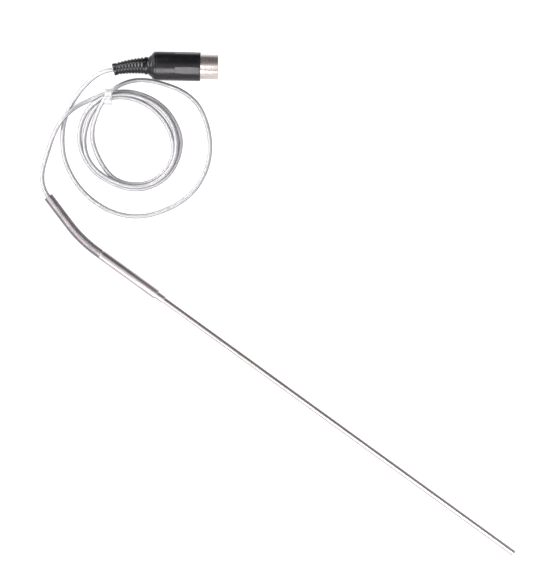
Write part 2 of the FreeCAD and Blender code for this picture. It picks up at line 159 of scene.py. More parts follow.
# The rim's outer half: how far back from the shell's end, and how far in from the surface.
SHELL_RIM = ((0.16, 0.0), (0.05, 0.04), (0.0, 0.14))
SHELL_MIDDLE = SHELL_END - MOUNTS["plug_shell"]["dims"]["length_mm"] / 2
PLUG_AT = np.array(MOUNTS["plug_shell"]["pos_m"]) / MM - heading(PLUG_YAW) * SHELL_MIDDLE
FLAT_ROLL = 19.0
FLAT_START = 12.3
FLAT_END = 24.9
FLAT_DEPTH = 0.25
FLAT_COUNT = 4
KEY_WIDTH = 2.3
KEY_DEPTH = 0.9
KEY_LIP = 0.16
KEY_CORNER = 0.12

BOOT_LENGTH = 18.3
BOOT_TURN = 16.0
BOOT_NECK = 2.3
BOOT_WIDE_R = 4.8
BOOT_FREE_R = 3.25
BOOT_SLOTS = 9
SLOT_PITCH = 1.7
SLOT_START = 1.7
SLOT_DEPTH = 0.95
SPINE_AT = 75.0
SPINE_HALF = 2.5
SPINE_FADE = 3.0
SPINE_CUT = 0.25  # share of the slots' depth that is cut into the spines
SIDE_CUT = 0.62  # share of the slots' depth at the boot's two sides
BOOT_BORE = 1.32
BOOT_LIP = 0.4
BOOT_MOUTH = 6.0  # how far the bore's smooth mouth reaches in from the free end
BOOT_BACK = BOOT_NECK + 1.0
# Flange, cone and neck of the boot: how far along, and the radius there.
BOOT_CONE = (
    (-BOOT_BACK, 6.05),
    (-BOOT_NECK, 6.05),
    (-BOOT_NECK + 0.2, 5.95),
    (-0.9, 4.95),
    (-0.45, 4.5),
    (-0.1, 4.42),
    (0.0, 4.6),
    (0.12, 4.72),
)
BOOT_PLAIN = (0.4, 0.8, 1.2, 1.45)  # stations between the neck and the first slot
# One pitch of the boot's outside: how far along, and how much of the slot's depth is cut away there.
SLOT_PROFILE = (
    (0.0, 0.6),
    (0.03, 1.0),
    (0.66, 1.0),
    (0.69, 0.5),
    (0.73, 0.2),
    (0.79, 0.05),
    (0.85, 0.0),
    (0.93, 0.03),
    (1.05, 0.1),
    (1.35, 0.28),
    (1.66, 0.46),
)

# Coil and routes of the cord, as in the CAD model. Coil rows give the outer, middle and inner turn's
# radii about the coil's centre, and how far the middle turn rides up between the other two. Route rows give
# X, Y and how far the cord is raised off the table.
COIL_CENTRE = (-65.2, 57.4)
TIE_ANGLE = 150.0
TIE_LIFT = 0.9
COIL_STATIONS = (
    (26.9, 25.7, 24.4, 2.2),
    (25.8, 24.2, 22.6, 2.1),
    (25.2, 23.5, 21.3, 1.9),
    (25.6, 24.0, 21.0, 1.9),
    (26.4, 24.7, 21.7, 1.8),
    (28.0, 25.4, 23.4, 1.6),
    (28.2, 26.6, 25.2, 2.1),
    (28.2, 26.9, 25.6, 2.2),
    (27.4, 26.1, 24.8, 2.2),
    (25.7, 24.4, 23.1, 2.2),
    (23.9, 22.7, 21.4, 2.2),
    (24.2, 22.9, 18.8, 2.1),
    (24.8, 23.3, 17.8, 2.0),
    (25.8, 23.2, 18.6, 0.0),
    (26.4, 23.2, 19.9, 0.0),
    (26.9, 24.4, 22.2, 0.0),
)
LEAD_IN_ROUTE = (
    (-86.4, 10.5, 1.1),
    (-90.3, 14.1, 0.4),
    (-93.3, 19.3, 0.0),
    (-95.6, 26.0, 0.0),
    (-98.0, 33.0, 0.2),
    (-99.5, 39.3, 1.3),
    (-99.9, 45.2, 3.0),
    (-99.2, 50.6, 3.0),
    (-97.7, 56.0, 1.5),
    (-94.9, 61.6, 0.2),
    (-91.9, 66.6, 0.3),
)
OUTER_LOOP_ROUTE = (
    (-87.2, 60.3, 2.2),
    (-87.9, 65.6, 4.5),
    (-87.7, 70.8, 5.5),
    (-86.8, 75.9, 4.9),
    (-84.6, 80.7, 2.9),
    (-80.8, 85.6, 0.9),
    (-74.8, 89.8, 0.0),
    (-66.4, 93.2, 0.0),
    (-56.8, 95.7, 0.0),
    (-46.6, 95.0, 0.0),
    (-37.6, 90.0, 0.0),
    (-30.5, 83.7, 0.0),
    (-25.0, 76.0, 0.0),
    (-21.7, 67.0, 0.0),
    (-20.9, 57.6, 0.0),
    (-22.7, 48.3, 0.0),
    (-27.1, 39.3, 0.0),
    (-33.2, 31.0, 0.0),
    (-41.0, 25.0, 0.0),
    (-50.1, 21.4, 0.0),
    (-60.2, 20.4, 0.0),
    (-70.0, 21.5, 0.0),
    (-79.2, 24.8, 0.0),
    (-87.4, 29.9, 0.0),
    (-93.9, 37.3, 0.0),
    (-98.3, 44.9, 0.0),
    (-100.4, 52.2, 0.0),
    (-101.1, 59.6, 0.3),
    (-100.8, 66.4, 1.7),
    (-99.7, 72.4, 3.8),
    (-97.9, 77.2, 5.6),
    (-95.6, 80.7, 6.4),
)

# Tie round the four cords.
TIE_AT = np.array((-87.5, 70.6, FLOOR))
TIE_YAW = 35.9
TIE_WIDTH = 3.7
TIE_THICKNESS = 0.9
TIE_BASE_HALF = 1.3
TIE_RISE = 4.7
TIE_LEAN = 0.3
TIE_GAP = 0.05
TIE_FLARE = 0.45
TIE_FLARE_UP = 0.4  # share of the flare that the strap's top has
STRAP_EDGE = 0.25
STRAP_HOLLOW = 0.15
STRAP_HOLLOW_HALF = 0.55  # share of the strap's half width
# Head and tail: width, thickness and length along the strap's slope.
TIE_HEAD = (4.2, 2.3, 4.0)
TIE_HEAD_PINCH = 0.28
TIE_TAIL = (2.4, 1.1, 3.0)
TIE_TAIL_SCALE = 0.97
TIE_TAIL_TOOTH = 0.05
TIE_HEAD_LIFT = 0.4  # how far up the strap's slope the head starts
TIE_BLOCK_STEPS = 12


# Camera, floor and light

VIEW_CENTRE = (39.1, 38.55)
VIEW_TURN = 35.9
VIEW_HEIGHT = 301.6
LENS = 250.0
SENSOR = 36.0

FLOOR_HALF = 3.0  # metres
FLOOR_GAP = 0.02
FLOOR_GREY = 0.2
FLOOR_ROUGHNESS = 0.9
FLOOR_SPECULAR = 0.1
FLOOR_GLOW = 0.93

TENT_BRIGHT = 1.0
TENT_DARK = 0.13
TENT_COLOR = (1.0, 0.975, 1.0, 1)
TENT_DARK_SIDE = 125.0
TENT_DARK_HEIGHT = 25.0
TENT_FADE = (0.4, 0.92)

# Softboxes, all aimed at the origin: place and size in metres, power, and whether shiny surfaces show them.
SOFTBOXES = {
    "key": ((0.32, -0.46, 0.83), (0.4, 0.6), 5, True),
    "strip": ((-0.07, -0.79, 0.61), (1.1, 0.3), 3.5, True),
    "side": ((0.47, 0.34, 0.82), (0.4, 0.4), 15, False),
    "end": ((-0.85, 0.0, 0.54), (1.3, 0.5), 14, True),
}


def add_camera():
    """A long lens straight above the part, turned so that the sheath runs down to the right."""
    camera = bpy.data.objects.new("camera", bpy.data.cameras.new("camera"))
    camera.data.lens = LENS
    camera.data.sensor_width = SENSOR
    camera.data.clip_start = 0.01
    camera.data.clip_end = 100.0
    distance = VIEW_HEIGHT * MM * LENS / SENSOR
    camera.location = (VIEW_CENTRE[0] * MM, VIEW_CENTRE[1] * MM, distance)
    camera.rotation_euler = Euler((0, 0, math.radians(VIEW_TURN)))
    bpy.context.scene.collection.objects.link(camera)
    bpy.context.scene.camera = camera


def add_softboxes():
    """Lights that the camera doesn't see."""
    for name, (at, size, power, mirrored) in SOFTBOXES.items():
        light = bpy.data.lights.new(name, "AREA")
        light.shape = "RECTANGLE"
        light.size = size[0]
        light.size_y = size[1]
        light.energy = power
        softbox = bpy.data.objects.new(name, light)
        softbox.location = at
        softbox.rotation_euler = (-Vector(at)).to_track_quat("-Z", "Y").to_euler()
        softbox.visible_camera = False
        softbox.visible_glossy = mirrored
        bpy.context.scene.collection.objects.link(softbox)


def add_world():
    """A white tent that falls away to grey on one side, which draws the dark bands on round metal."""
    world = bpy.data.worlds.new("tent")
    bpy.context.scene.world = world
    world.use_nodes = True
    tree = world.node_tree
    background = tree.nodes["Background"]
    place = tree.nodes.new("ShaderNodeTexCoord")
    level = math.radians(TENT_DARK_HEIGHT)
    dark_side = heading(TENT_DARK_SIDE) * math.cos(level) + UP * math.sin(level)
    towards = tree.nodes.new("ShaderNodeVectorMath")
    towards.operation = "DOT_PRODUCT"
    towards.inputs[1].default_value = Vector(dark_side)
    shade = tree.nodes.new("ShaderNodeMapRange")
    shade.interpolation_type = "SMOOTHSTEP"
    shade.inputs["From Min"].default_value = TENT_FADE[0]
    shade.inputs["From Max"].default_value = TENT_FADE[1]
    shade.inputs["To Min"].default_value = TENT_BRIGHT
    shade.inputs["To Max"].default_value = TENT_DARK
    tree.links.new(place.outputs["Generated"], towards.inputs[0])
    tree.links.new(towards.outputs["Value"], shade.inputs["Value"])
    tree.links.new(shade.outputs["Result"], background.inputs["Strength"])
    background.inputs["Color"].default_value = TENT_COLOR


def add_floor():
    """A glowing white sheet under the part. Reflections don't see it, so metal mirrors the tent instead."""
    half = FLOOR_HALF
    z = (FLOOR - FLOOR_GAP) * MM
    corners = [(-half, -half, z), (half, -half, z), (half, half, z), (-half, half, z)]
    mesh = bpy.data.meshes.new("floor")
    mesh.from_pydata(corners, [], [(0, 1, 2, 3)])
    floor = bpy.data.objects.new("floor", mesh)
    bpy.context.scene.collection.objects.link(floor)
    paint = bpy.data.materials.new("floor")
    paint.use_nodes = True
    shader = paint.node_tree.nodes["Principled BSDF"]
    shader.inputs["Base Color"].default_value = (FLOOR_GREY, FLOOR_GREY, FLOOR_GREY, 1)
    shader.inputs["Roughness"].default_value = FLOOR_ROUGHNESS
    shader.inputs["Specular IOR Level"].default_value = FLOOR_SPECULAR
    shader.inputs["Emission Color"].default_value = (1, 1, 1, 1)
    shader.inputs["Emission Strength"].default_value = FLOOR_GLOW
    mesh.materials.append(paint)
    floor.visible_glossy = False


# Materials

TARNISH = 0.86  # how dark a metal's dullest patches are, beside its own colour
SHADE = 0.2  # how far plastic goes darker and lighter than its own colour
POWDER_SHADE = 0.85
NOISE_LOW = 0.3
NOISE_HIGH = 0.7
NOISE_ROUGHNESS = 0.55
PATCH_SCALE = 140
BROAD_SCALE = 160
RELIEF_STRENGTH = 0.5
GLOSS_TINT = (0.99, 0.965, 1.0, 1.0)


def material(name, color, roughness, metallic=0.0, **sockets):
    """A Principled material; sockets are named with underscores for spaces."""
    made = bpy.data.materials.new(name)
    made.use_nodes = True
    shader = made.node_tree.nodes["Principled BSDF"]
    shader.inputs["Base Color"].default_value = (*color, 1)
    shader.inputs["Roughness"].default_value = roughness
    shader.inputs["Metallic"].default_value = metallic
    for socket, value in sockets.items():
        shader.inputs[socket.replace("_", " ")].default_value = value
    return made


def noise(made, scale, stretch=(1, 1, 1), detail=3.0):
    """A noise value in the object's own coordinates, with its scale per metre."""
    tree = made.node_tree
    place = tree.nodes.new("ShaderNodeTexCoord")
    mapping = tree.nodes.new("ShaderNodeMapping")
    mapping.inputs["Scale"].default_value = stretch
    texture = tree.nodes.new("ShaderNodeTexNoise")
    texture.inputs["Scale"].default_value = scale
    texture.inputs["Detail"].default_value = detail
    texture.inputs["Roughness"].default_value = NOISE_ROUGHNESS
    tree.links.new(place.outputs["Object"], mapping.inputs["Vector"])
    tree.links.new(mapping.outputs["Vector"], texture.inputs["Vector"])
    return texture.outputs["Fac"]


def vary_color(made, value, low, high):
    """The base colour goes from low to high with a noise value."""
    tree = made.node_tree
    ramp = tree.nodes.new("ShaderNodeValToRGB")
    ramp.color_ramp.elements[0].position = NOISE_LOW
    ramp.color_ramp.elements[1].position = NOISE_HIGH
    ramp.color_ramp.elements[0].color = (*low, 1)
    ramp.color_ramp.elements[1].color = (*high, 1)
    tree.links.new(value, ramp.inputs["Fac"])
    tree.links.new(ramp.outputs["Color"], tree.nodes["Principled BSDF"].inputs["Base Color"])


def vary_roughness(made, value, low, high):
    """The roughness goes from low to high with a noise value."""
    tree = made.node_tree
    spread = tree.nodes.new("ShaderNodeMapRange")
    spread.inputs["From Min"].default_value = NOISE_LOW
    spread.inputs["From Max"].default_value = NOISE_HIGH
    spread.inputs["To Min"].default_value = low
    spread.inputs["To Max"].default_value = high
    tree.links.new(value, spread.inputs["Value"])
    tree.links.new(spread.outputs["Result"], tree.nodes["Principled BSDF"].inputs["Roughness"])


def bump(made, value, height):
    """Relief from a noise value; height is in millimetres."""
    tree = made.node_tree
    relief = tree.nodes.new("ShaderNodeBump")
    relief.inputs["Strength"].default_value = RELIEF_STRENGTH
    relief.inputs["Distance"].default_value = height * MM
    tree.links.new(value, relief.inputs["Height"])
    tree.links.new(relief.outputs["Normal"], tree.nodes["Principled BSDF"].inputs["Normal"])


def metal(name, color, roughness, spread=0.08, line=(1, 0.02, 0.02), scale=3000, height=0.004):
    """Bare metal with a little tarnish and a fine noise, drawn out along the axes where line is small."""
    made = material(name, color, roughness, metallic=1.0)
    lines = noise(made, scale, line)
    patches = noise(made, PATCH_SCALE)
    dull = tuple(c * TARNISH for c in color)
    vary_color(made, patches, dull, color)
    vary_roughness(made, lines, roughness - spread, roughness + spread)
    bump(made, lines, height)
    return made


def plastic(name, color, roughness, grain=2500, height=0.01, spread=0.06, **sockets):
    """Moulded plastic with a fine spark-eroded grain."""
    made = material(name, color, roughness, **sockets)
    fine = noise(made, grain, detail=2.0)
    broad = noise(made, BROAD_SCALE)
    darker = tuple(c * (1 - SHADE) for c in color)
    lighter = tuple(min(c * (1 + SHADE), 1) for c in color)
    vary_color(made, broad, darker, lighter)
    vary_roughness(made, broad, roughness - spread, roughness + spread)
    bump(made, fine, height)
    return made


def powder(name, color):
    """Matt pressed powder."""
    made = material(name, color, 0.9)
    grains = noise(made, 4000)
    vary_color(made, grains, tuple(c * POWDER_SHADE for c in color), color)
    bump(made, grains, 0.03)
    return made


SHEATH_METAL = metal("sheath_stainless", (0.64, 0.60, 0.59), 0.24)
SLEEVE_METAL = metal("sleeve_stainless", (0.66, 0.62, 0.62), 0.2)
SPRING_METAL = metal("spring_wire", (0.36, 0.335, 0.35), 0.18, line=(1, 1, 1), height=0.002)
STRAND_METAL = metal("braid_strand", (0.62, 0.615, 0.63), 0.5, line=(1, 1, 1), scale=6000, height=0.01)
# The cord's core is real, but its near-black colour is painted shade: it makes the gaps between the braid's
# strands show as dark dots.
CORE_WITH_GAP_SHADE = plastic("cord_core", (0.045, 0.045, 0.05), 0.5)
NICKEL = metal("shell_nickel", (0.78, 0.71, 0.67), 0.27, spread=0.05, line=(1, 1, 1), scale=900, height=0.003)
COVER_PLASTIC = plastic("cover_plastic", (0.0016, 0.0016, 0.0022), 0.24, height=0.008,
                        Specular_Tint=GLOSS_TINT)
BOOT_RUBBER = plastic("boot_rubber", (0.0015, 0.0015, 0.002), 0.16, grain=1200, height=0.006,
                      Specular_Tint=GLOSS_TINT)
NYLON = plastic("tie_nylon", (0.54, 0.54, 0.55), 0.3, height=0.006, Transmission_Weight=0.35, IOR=1.53)

SLOT_MATERIALS = {
    "stainless_steel": SLEEVE_METAL,
    "spring_steel": SPRING_METAL,
    "magnesium_oxide": powder("magnesia", (0.92, 0.91, 0.88)),
    "nickel_chromium": metal("wire_nickel_chromium", (0.55, 0.53, 0.50), 0.35),
    "nickel_aluminium": metal("wire_nickel_aluminium", (0.60, 0.57, 0.52), 0.35),
    "potting_resin": plastic("potting", (0.16, 0.12, 0.08), 0.3),
    "tinned_copper": metal("crimp_tin", (0.74, 0.73, 0.71), 0.3),
    "copper_alloy": metal("conductor_copper", (0.80, 0.48, 0.32), 0.28),
    "braided_cord": STRAND_METAL,
    "natural_nylon": NYLON,
    "boot_pvc": BOOT_RUBBER,
    "plug_plastic": COVER_PLASTIC,
    "nickel_plate": NICKEL,
    "tinned_steel": metal("shield_tin", (0.70, 0.70, 0.69), 0.3),
    "insert_plastic": plastic("insert_plastic", (0.02, 0.02, 0.02), 0.45),
    "core_insulation": plastic("core_insulation", (0.70, 0.70, 0.66), 0.4),
    "solder": metal("solder", (0.66, 0.67, 0.69), 0.25, line=(1, 1, 1), scale=1500, height=0.02),
    "pin_plate": metal("pin_silver", (0.86, 0.83, 0.76), 0.2),
}


def dress_cad_nodes():
    """Every CAD node gets its slot's material, whether or not a piece stands for it."""
    for part in frame["record"]["subparts"]:
        node = frame["nodes"][part["node"]]
        node.data.materials.clear()
        node.data.materials.append(SLOT_MATERIALS[part["material_slot"]])


# Shared shapes

class Shape:
    """Points in millimetres and faces, gathered piece by piece into one mesh."""

    def __init__(self):
        self.points = []
        self.faces = []
        self.slots = []
        self.count = 0

    def add(self, points, faces, slot=0):
        self.faces += [tuple(corner + self.count for corner in face) for face in faces]
        self.slots += [slot] * len(faces)
        self.points.append(np.asarray(points, float).reshape(-1, 3))
        self.count += len(self.points[-1])

    def add_rings(self, rings, slot=0, wrap=False, caps=False):
        """Rings of points joined in order; wrap joins the last to the first, caps close both ends."""
        rings = np.asarray(rings, float)
        rows, around = rings.shape[:2]
        faces = []
        for row in range(rows if wrap else rows - 1):
            here = row * around
            there = (row + 1) % rows * around
            for i in range(around):
                j = (i + 1) % around
                faces.append((here + i, here + j, there + j, there + i))
        points = rings.reshape(-1, 3)
        if caps:
            last = (rows - 1) * around
            points = np.vstack((points, rings[0].mean(0), rings[-1].mean(0)))
            for i in range(around):
                j = (i + 1) % around
                faces.append((rows * around, j, i))
                faces.append((rows * around + 1, last + i, last + j))
        self.add(points, faces, slot)

    def piece(self, name, materials, sharp=38.0):
        """The Blender object, smooth except across sharp edges."""
        mesh = bpy.data.meshes.new(name)
        mesh.from_pydata((np.vstack(self.points) * MM).tolist(), [], self.faces)
        for made in materials:
            mesh.materials.append(made)
        mesh.polygons.foreach_set("material_index", self.slots)
        mesh.polygons.foreach_set("use_smooth", [True] * len(self.faces))
        outward = bmesh.new()
        outward.from_mesh(mesh)
        bmesh.ops.recalc_face_normals(outward, faces=outward.faces)
        outward.to_mesh(mesh)
        outward.free()
        mesh.set_sharp_from_angle(angle=math.radians(sharp))
        made = bpy.data.objects.new(name, mesh)
        bpy.context.scene.collection.objects.link(made)
        return made


def rounded(corners, closed=False, steps=5):
    """An outline through (x, y, rounding) corners, with a curve at each corner that has a rounding."""
    outline = []
    last = len(corners) - 1
    for index, (x, y, rounding) in enumerate(corners):
        corner = np.array((x, y), float)
        if not rounding or (not closed and index in (0, last)):
            outline.append(corner)
            continue
        back = unit(np.array(corners[index - 1][:2]) - corner)
        ahead = unit(np.array(corners[(index + 1) % len(corners)][:2]) - corner)
        half = math.acos(np.clip(back @ ahead, -1, 1)) / 2
        reach = rounding / math.tan(half)
        for t in np.linspace(0, 1, steps + 1):
            start, end = corner + back * reach, corner + ahead * reach
            outline.append((1 - t) ** 2 * start + 2 * t * (1 - t) * corner + t * t * end)
    return np.array(outline)


def turned(profile, around, radius_at=None):
    """Rings about X from an outline of (x, radius); radius_at(x, radius, angle) can change the roundness."""
    angles = circle(around)
    rings = []
    for x, radius in profile:
        radii = np.full(around, radius) if radius_at is None else radius_at(x, radius, angles)
        rings.append(np.column_stack((np.full(around, x), radii * np.cos(angles), radii * np.sin(angles))))
    return np.array(rings)


def from_plug(points):
    """Points in the plug's own frame, with +X towards the socket, in the part's frame."""
    points = np.asarray(points, float)
    along = heading(PLUG_YAW)
    left = np.cross(UP, along)
    return PLUG_AT + points[..., :1] * along + points[..., 1:2] * left + points[..., 2:] * UP


def frames_along(points):
    """Unit directions along a path, and two directions across it that never twist."""
    along = np.gradient(points, axis=0)
    along /= np.linalg.norm(along, axis=1)[:, None]
    side = unit(np.cross(along[0], UP) if abs(along[0][2]) < 0.9 else np.cross(along[0], (1, 0, 0)))
    sides = []
    for direction in along:
        side = unit(side - direction * (side @ direction))
        sides.append(side)
    sides = np.array(sides)
    return along, sides, np.cross(along, sides)


def resampled(points, spacing):
    """The same path with evenly spaced points."""
    reach = np.concatenate(((0.0,), np.cumsum(np.linalg.norm(np.diff(points, axis=0), axis=1))))
    steps = max(2, round(reach[-1] / spacing))
    even = np.linspace(0, reach[-1], steps + 1)
    return np.column_stack([np.interp(even, reach, points[:, axis]) for axis in range(3)])


def rings_along(points, radius, around):
    """Round rings of one radius along a path."""
    _, side, rise = frames_along(points)
    angles = circle(around)
    turn = np.cos(angles)[None, :, None] * side[:, None] + np.sin(angles)[None, :, None] * rise[:, None]
    return points[:, None] + radius * turn


# Cord

def spring_bend(distance):
    """How far the relief spring has turned, in radians, at a distance from the sleeve's end."""
    return min(max((distance - SPRING_START) / SPRING_BEND_RADIUS, 0), math.radians(SPRING_BEND))


def spring_axis(distance):
    """A point on the relief spring's axis, measured from the sleeve's end towards its mouth."""
    arc = math.radians(SPRING_BEND) * SPRING_BEND_RADIUS
    bend = spring_bend(distance)
    at = np.array((SLEEVE_BACK - min(distance, SPRING_START), 0.0, 0.0))
    at += np.array((-math.sin(bend), 1 - math.cos(bend), 0.0)) * SPRING_BEND_RADIUS
    tail = max(distance - SPRING_START - arc, 0)
    return at + heading(180 - SPRING_BEND) * tail


SPRING_LENGTH = SPRING_START + math.radians(SPRING_BEND) * SPRING_BEND_RADIUS + SPRING_TAIL
SPRING_MOUTH = spring_axis(SPRING_LENGTH)


def boot_axis(distance):
    """A point on the boot's bent axis and the direction there, from its wide end towards its free end."""
    turn = math.radians(BOOT_TURN)
    radius = BOOT_LENGTH / turn
    bend = max(distance, 0) / radius
    x = -BOOT_NECK - min(distance, 0) - radius * math.sin(bend)
    y = -radius * (1 - math.cos(bend))
    return from_plug(np.array((x, y, 0.0))), heading(PLUG_YAW + 180 + math.degrees(bend))


def coil_point(row, turn):
    """A control point of one turn. It stands out a little, because the spline cuts inside its points."""
    step = 360.0 / len(COIL_STATIONS)
    radius = COIL_STATIONS[row][turn] / math.cos(math.radians(step / 2))
    at = heading(TIE_ANGLE - step * row) * radius
    height = COIL_STATIONS[row][3] if turn == 1 else 0.0
    lift = TIE_LIFT if row == 0 else 0.0
    return (COIL_CENTRE[0] + at[0], COIL_CENTRE[1] + at[1], CORD_FLOOR + height + lift)


def cord_route():
    """Control points of the cord's one spline, from inside the relief spring to inside the boot."""
    lifted = [[(x, y, CORD_FLOOR + height) for x, y, height in route]
              for route in (LEAD_IN_ROUTE, OUTER_LOOP_ROUTE)]
    turns = [coil_point(row, turn) for turn in range(3) for row in range(len(COIL_STATIONS))]
    inside_spring = [spring_axis(SPRING_LENGTH - INSIDE_SPRING), SPRING_MOUTH]
    inside_boot = [boot_axis(BOOT_LENGTH)[0], boot_axis(BOOT_LENGTH - INSIDE_BOOT)[0]]
    return inside_spring + lifted[0] + turns[:-1] + lifted[1] + inside_boot


def spline_line(route):
    """Points on the smooth NURBS spline that has the route as its control points."""
    curve = bpy.data.curves.new("route", "CURVE")
    curve.dimensions = "3D"
    curve.resolution_u = 16
    spline = curve.splines.new("NURBS")
    spline.points.add(len(route) - 1)
    for point, at in zip(spline.points, route):
        point.co = (*(np.array(at) * MM), 1)
    spline.order_u = 3
    spline.use_endpoint_u = True
    holder = bpy.data.objects.new("route", curve)
    line = bpy.data.meshes.new_from_object(holder)
    points = np.array([vertex.co for vertex in line.vertices]) / MM
    bpy.data.objects.remove(holder)
    bpy.data.curves.remove(curve)
    bpy.data.meshes.remove(line)
    return points


def add_braid(shape, line):
    """Flat strands wound both ways round a core, each over one and under the next."""
    crossings = 2 * CARRIERS
    points = resampled(line, BRAID_LAY / crossings)
    along, side, rise = frames_along(points)
    rows = np.arange(len(points))
    middle = CORD_R - STRAND_THICKNESS - STRAND_WEAVE
    slope = math.atan2(2 * math.pi * middle, BRAID_LAY)
    over = np.where(rows % 2 == 0, 1.0, -1.0)
    for hand in (1, -1):
        radius = middle + hand * over * STRAND_WEAVE
        for carrier in range(CARRIERS):
            angle = 2 * math.pi * (carrier / CARRIERS + hand * rows / crossings)
            out = np.cos(angle)[:, None] * side + np.sin(angle)[:, None] * rise
            round_way = np.cross(along, out)
            across = round_way * math.cos(slope) - along * (hand * math.sin(slope))
            centre = points + out * radius[:, None]
            edge = across * (STRAND_WIDTH / 2)
            crest = centre + out * STRAND_THICKNESS
            rings = np.stack((centre + edge, crest, centre - edge), axis=1)
            shape.add_rings(rings, slot=0, caps=True)
    # The core under the strands; its near-black colour paints shade into the gaps between them.
    core = middle - STRAND_WEAVE
    shape.add_rings(rings_along(points[::2], core, CORE_SIDES), slot=1, caps=True)
    return points


def make_cord():
    """The cord that can be seen, with its centreline in metres and its length."""
    shape = Shape()
    line = spline_line(cord_route())
    points = add_braid(shape, line)
    cord = shape.piece("cord", [STRAND_METAL, CORE_WITH_GAP_SHADE], sharp=70)
    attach(cord, "cable")
    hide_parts("cord_lead_in", "cord_coil", "cord_outer_loop")
    length = float(np.linalg.norm(np.diff(points, axis=0), axis=1).sum()) * MM
    return cord, points * MM, length


# Probe

SPRING_BLEND = (spring_axis(SPRING_START) * MM, spring_axis(SPRING_LENGTH - SPRING_STEADY) * MM)


def make_sheath():
    """The bare sheath from inside the collar to the weld, in one drawn tube."""
    shape = Shape()
    profile = rounded((
        (COLLAR_FRONT - OVERLAP, SHEATH_NECK, 0),
        (0.0, SHEATH_NECK, 0),
        (0.0, SHEATH_R, 0.08),
        (TIP_WELD, SHEATH_R, 0),
    ))
    shape.add_rings(turned(profile, around=64), caps=True)
    sheath = shape.piece("sheath", [SHEATH_METAL])
    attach(sheath, "probe")
    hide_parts("sheath_tube")


def make_tip():
    """The welded end: a low bead round the seam, then a flat face with a worn edge."""
    shape = Shape()
    profile = rounded((
        (TIP_WELD, SHEATH_R, 0),
        (TIP_WELD + WELD_CREST, SHEATH_R + WELD_HEIGHT, 0.1),
        (TIP_WELD + WELD_LENGTH, SHEATH_R, 0.1),
        (TIP, SHEATH_R, 0.3),
        (TIP, 0.25, 0),
    ))
    shape.add_rings(turned(profile, around=64), caps=True)
    tip = shape.piece("sheath_tip", [SHEATH_METAL])
    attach(tip, "probe")
    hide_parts("tip_weld_cap")


def make_collar():
    """The short neck between the sleeve and the sheath, rounded at its front."""
    shape = Shape()
    profile = rounded((
        (SLEEVE_FRONT - OVERLAP, COLLAR_BORE, 0),
        (SLEEVE_FRONT - OVERLAP, COLLAR_R, 0),
        (COLLAR_FRONT, COLLAR_R, 0.35),
        (COLLAR_FRONT, COLLAR_BORE, 0),
    ), closed=True)
    shape.add_rings(turned(profile, around=64), wrap=True)
    collar = shape.piece("collar", [SLEEVE_METAL])
    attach(collar, "probe")
    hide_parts("reducer_collar")


def make_sleeve():
    """The transition sleeve, rolled in a little at both ends."""
    shape = Shape()
    bore = SLEEVE_R - SLEEVE_WALL
    profile = rounded((
        (SLEEVE_BACK, bore, 0),
        (SLEEVE_BACK, SLEEVE_R, 0.22),
        (SLEEVE_FRONT, SLEEVE_R, 0.4),
        (SLEEVE_FRONT, bore, 0),
    ), closed=True)
    shape.add_rings(turned(profile, around=96), wrap=True)
    sleeve = shape.piece("sleeve", [SLEEVE_METAL])
    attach(sleeve, "probe")
    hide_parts("transition_sleeve")


def make_spring(samples=28, sides=8):
    """The close-wound wire, turn by turn, from the sleeve's end to its mouth."""
    wire = SPRING_WIRE / 2
    turns = (SPRING_LENGTH - 2 * wire) / SPRING_PITCH
    corners = circle(sides)
    rings = []
    for turn in np.linspace(0, turns, round(turns * samples)):
        distance = wire + turn * SPRING_PITCH
        along = heading(180 - math.degrees(spring_bend(distance)))
        angle = 2 * math.pi * turn
        out = math.cos(angle) * np.cross(UP, along) + math.sin(angle) * UP
        centre = spring_axis(distance) + out * (SPRING_R - wire)
        rings.append(centre + wire * (np.cos(corners)[:, None] * out + np.sin(corners)[:, None] * along))
    shape = Shape()
    shape.add_rings(rings, caps=True)
    spring = shape.piece("spring", [SPRING_METAL], sharp=60)
    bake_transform(spring)
    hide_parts("relief_spring")


def make_cord_inside_spring():
    """The cord from inside the sleeve to where the seen cord begins."""
    distances = np.arange(-INSIDE_SLEEVE, SPRING_LENGTH - INSIDE_SPRING + 0.01, PATH_STEP)
    shape = Shape()
    add_braid(shape, np.array([spring_axis(distance) for distance in distances]))
    inner = shape.piece("cord_inside_spring", [STRAND_METAL, CORE_WITH_GAP_SHADE], sharp=70)
    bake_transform(inner)
    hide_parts("cord_in_spring")


# Tie

def at_tie(points):
    """Points in the tie's own frame, with X along the cords, in the part's frame."""
    points = np.asarray(points, float)
    along = heading(TIE_YAW)
    return TIE_AT + points[..., :1] * along + points[..., 1:2] * np.cross(UP, along) + points[..., 2:] * UP


def tie_outline(reach, steps=10):
    """Rounded triangle round the cords, in the plane across them: points and their outward directions."""
    base = TIE_THICKNESS + CORD_R
    corners = np.array(((-TIE_BASE_HALF, base), (TIE_BASE_HALF, base), (TIE_LEAN, base + TIE_RISE)))
    points, outs = [], []
    for index, corner in enumerate(corners):
        before = unit(corner - corners[index - 1])
        after = unit(corners[(index + 1) % 3] - corner)
        first = math.atan2(-before[0], before[1])
        sweep = (math.atan2(-after[0], after[1]) - first) % (2 * math.pi)
        for angle in np.linspace(first, first + sweep, steps):
            out = np.array((math.cos(angle), math.sin(angle)))
            points.append(corner + out * reach)
            outs.append(out)
    return np.array(points), np.array(outs)


def strap_flare(along, out):
    """How far the strap's edge is pushed out where the outer loop turns away from the other cords."""
    share = min(max(along / (TIE_WIDTH / 2), 0.0), 1.0)
    return TIE_FLARE * share * max(out[0] + TIE_FLARE_UP * out[1], 0.0)


